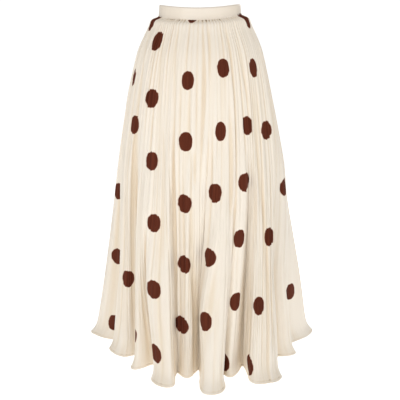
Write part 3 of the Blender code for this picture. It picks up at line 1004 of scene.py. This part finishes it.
def zip_tape_weave():
    tape = Finish("zip_tape", roughness=0.78, gloss=0.2, sheen=0.15)
    lie = tape.lie((1.0, 1.0))
    ribs = tape.weave(lie, "Y", 900.0)
    cords = tape.weave(lie, "X", 520.0)
    woven = tape.math("MULTIPLY", ribs, cords)
    soft = tape.noise(lie, 120.0)
    shade = tape.math("MULTIPLY_ADD", woven, 0.6, tape.math("MULTIPLY", soft, 0.4))
    colour = tape.blend(tape.spread(shade, 0.1, 0.8), (0.74, 0.65, 0.54), (0.84, 0.76, 0.65))
    return tape.wear(colour, tape.relief(shade, 0.15 * MM, 0.8))


def nylon():
    smooth = Finish("zip_coil", roughness=0.38, gloss=0.5)
    drawn = smooth.noise(smooth.space((900.0, 900.0, 900.0)), 1.0)
    colour = smooth.blend(drawn, (0.80, 0.72, 0.61), (0.87, 0.80, 0.70))
    return smooth.wear(colour, smooth.relief(drawn, 0.03 * MM, 0.4))


ZIP_TAPE_WEAVE = zip_tape_weave()
NYLON = nylon()


def build_tape(name, node, side):
    """A tape on one side of the slit: -1 on the wearer's left, 1 on the right."""
    reach = side * (ZIP_SLIT / 2 + np.linspace(0.0, TAPE_WIDTH, TAPE_COLUMNS))[::side]
    points = np.array([behind_face(reach, drop, tape_depth(drop)) for drop in TAPE_DROPS])
    lie = np.stack(np.meshgrid(reach, TAPE_DROPS), axis=-1)
    tape = hang(name, woven_mesh(name, points, lie), ZIP_TAPE_WEAVE, TAPE_CLOTH)
    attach(tape, "skirt")
    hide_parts(node)


def build_coil(name, side):
    """A flat coil of nylon along the edge of a tape, its turns between those of the other coil."""
    turns = (ZIP_LENGTH - 2 * ZIP_TOP) / COIL_PITCH
    angles = np.arange(0, turns * COIL_STEPS) * 2 * math.pi / COIL_STEPS
    near, far = COIL_REACH
    first_turn = 0.5 if side > 0 else 0.0
    curve = bpy.data.curves.new(name, "CURVE")
    curve.dimensions = "3D"
    curve.bevel_depth = COIL_WIRE
    curve.bevel_resolution = 1
    spline = curve.splines.new("POLY")
    spline.points.add(len(angles) - 1)
    for point, angle in zip(spline.points, angles):
        drop = ZIP_TOP + COIL_PITCH * (angle / (2 * math.pi) + first_turn)
        reach = side * ((near + far) / 2 + (far - near) / 2 * math.cos(angle))
        off_tape = COIL_WIRE + COIL_HALF_DEPTH * (COIL_OFF_TAPE + math.sin(angle))
        depth = tape_depth(drop) + TAPE_CLOTH + off_tape
        point.co = (*behind_face([reach], drop, depth)[0], 1.0)
    coil = bpy.data.objects.new(name, curve)
    bpy.context.scene.collection.objects.link(coil)
    curve.materials.append(NYLON)
    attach(coil, "skirt")


build_tape("woven_zip_tape_left", "zip_tape_left", -1)
build_tape("woven_zip_tape_right", "zip_tape_right", 1)
build_coil("zip_coil_left", -1)
build_coil("zip_coil_right", 1)


def cream_enamel():
    enamel = Finish("zip_metal", roughness=0.3, gloss=0.5, coat=0.4)
    flow = enamel.noise(enamel.space((400.0, 400.0, 400.0)), 1.0, 2.0)
    colour = enamel.blend(enamel.spread(flow, 0.3, 0.7), (0.78, 0.69, 0.57), (0.84, 0.76, 0.64))
    roughness = enamel.spread(flow, 0.3, 0.7, 0.24, 0.38)
    return enamel.wear(colour, enamel.relief(flow, 0.05 * MM, 0.4), roughness)


CREAM_ENAMEL = cream_enamel()
for node in ("zip_slider", "zip_pull"):
    for material_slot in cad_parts[node].material_slots:
        material_slot.material = CREAM_ENAMEL


# ==================================================================================================
# Studio
# A pale floor well below the hem, an even white surround, two broad soft lights from the front and
# one from behind.

FLOOR_RADIUS = 30.0
FLOOR_HEIGHT = -1.30
FLOOR_GLOW = 0.75

# How bright the surround is as a light on the skirt, and as it is seen
SURROUND = (1.0, 0.985, 0.96)
SURROUND_LIGHTS = 0.43
SURROUND_SEEN = 1.1

# (name, place, aimed at, size, watts)
LAMPS = (
    ("key", (-1.1, -2.6, 0.9), (0.0, 0.0, -0.5), 1.2, 23.0),
    ("fill", (1.8, -2.2, 0.2), (0.0, 0.0, -0.6), 2.0, 12.0),
    ("back", (0.9, 2.7, 0.8), (0.0, 0.0, -0.5), 1.6, 24.0),
)


def floor():
    paint = Finish("studio_floor", roughness=0.9)
    mottled = paint.noise(paint.space((0.5, 0.5, 0.5)), 1.0)
    mottled = paint.spread(mottled, 0.3, 0.7)
    paint.wear(paint.blend(mottled, (0.90, 0.90, 0.90), (0.91, 0.91, 0.91)))
    paint.shader.inputs["Emission Color"].default_value = (1.0, 1.0, 1.0, 1.0)
    paint.shader.inputs["Emission Strength"].default_value = FLOOR_GLOW
    bm = bmesh.new()
    bmesh.ops.create_circle(bm, cap_ends=True, segments=96, radius=FLOOR_RADIUS)
    bmesh.ops.translate(bm, vec=(0.0, 0.0, FLOOR_HEIGHT), verts=bm.verts)
    mesh = bpy.data.meshes.new("studio_floor")
    bm.to_mesh(mesh)
    bm.free()
    hang("studio_floor", mesh, paint.material)


def white_surround():
    world = bpy.data.worlds.new("white surround")
    world.use_nodes = True
    surround = world.node_tree.nodes["Background"]
    surround.inputs["Color"].default_value = (*SURROUND, 1.0)
    seen = world.node_tree.nodes.new("ShaderNodeLightPath")
    level = world.node_tree.nodes.new("ShaderNodeMapRange")
    level.inputs["To Min"].default_value = SURROUND_LIGHTS
    level.inputs["To Max"].default_value = SURROUND_SEEN
    world.node_tree.links.new(seen.outputs["Is Camera Ray"], level.inputs["Value"])
    world.node_tree.links.new(level.outputs["Result"], surround.inputs["Strength"])
    bpy.context.scene.world = world


def light(name, place, aim, size, watts):
    lamp = bpy.data.lights.new(name, "AREA")
    lamp.size = size
    lamp.energy = watts
    holder = bpy.data.objects.new(name, lamp)
    holder.location = place
    holder.rotation_euler = (Vector(aim) - Vector(place)).to_track_quat("-Z", "Y").to_euler()
    bpy.context.scene.collection.objects.link(holder)


floor()
white_surround()
for lamp_row in LAMPS:
    light(*lamp_row)


# ==================================================================================================
# Camera
# Level with the waist, two metres in front and tilted down towards the hem, as the photo was taken.

CAMERA_DISTANCE = 2.08
CAMERA_TILT = math.radians(15.72)

lens = bpy.data.cameras.new("camera")
lens.sensor_width = 36.0
lens.lens = 62.5
camera = bpy.data.objects.new("camera", lens)
camera.location = (0.0, -CAMERA_DISTANCE, 0.0)
camera.rotation_euler = (math.pi / 2 - CAMERA_TILT, 0.0, 0.0)
bpy.context.scene.collection.objects.link(camera)
bpy.context.scene.camera = camera
bpy.context.scene.view_settings.view_transform = "Standard"
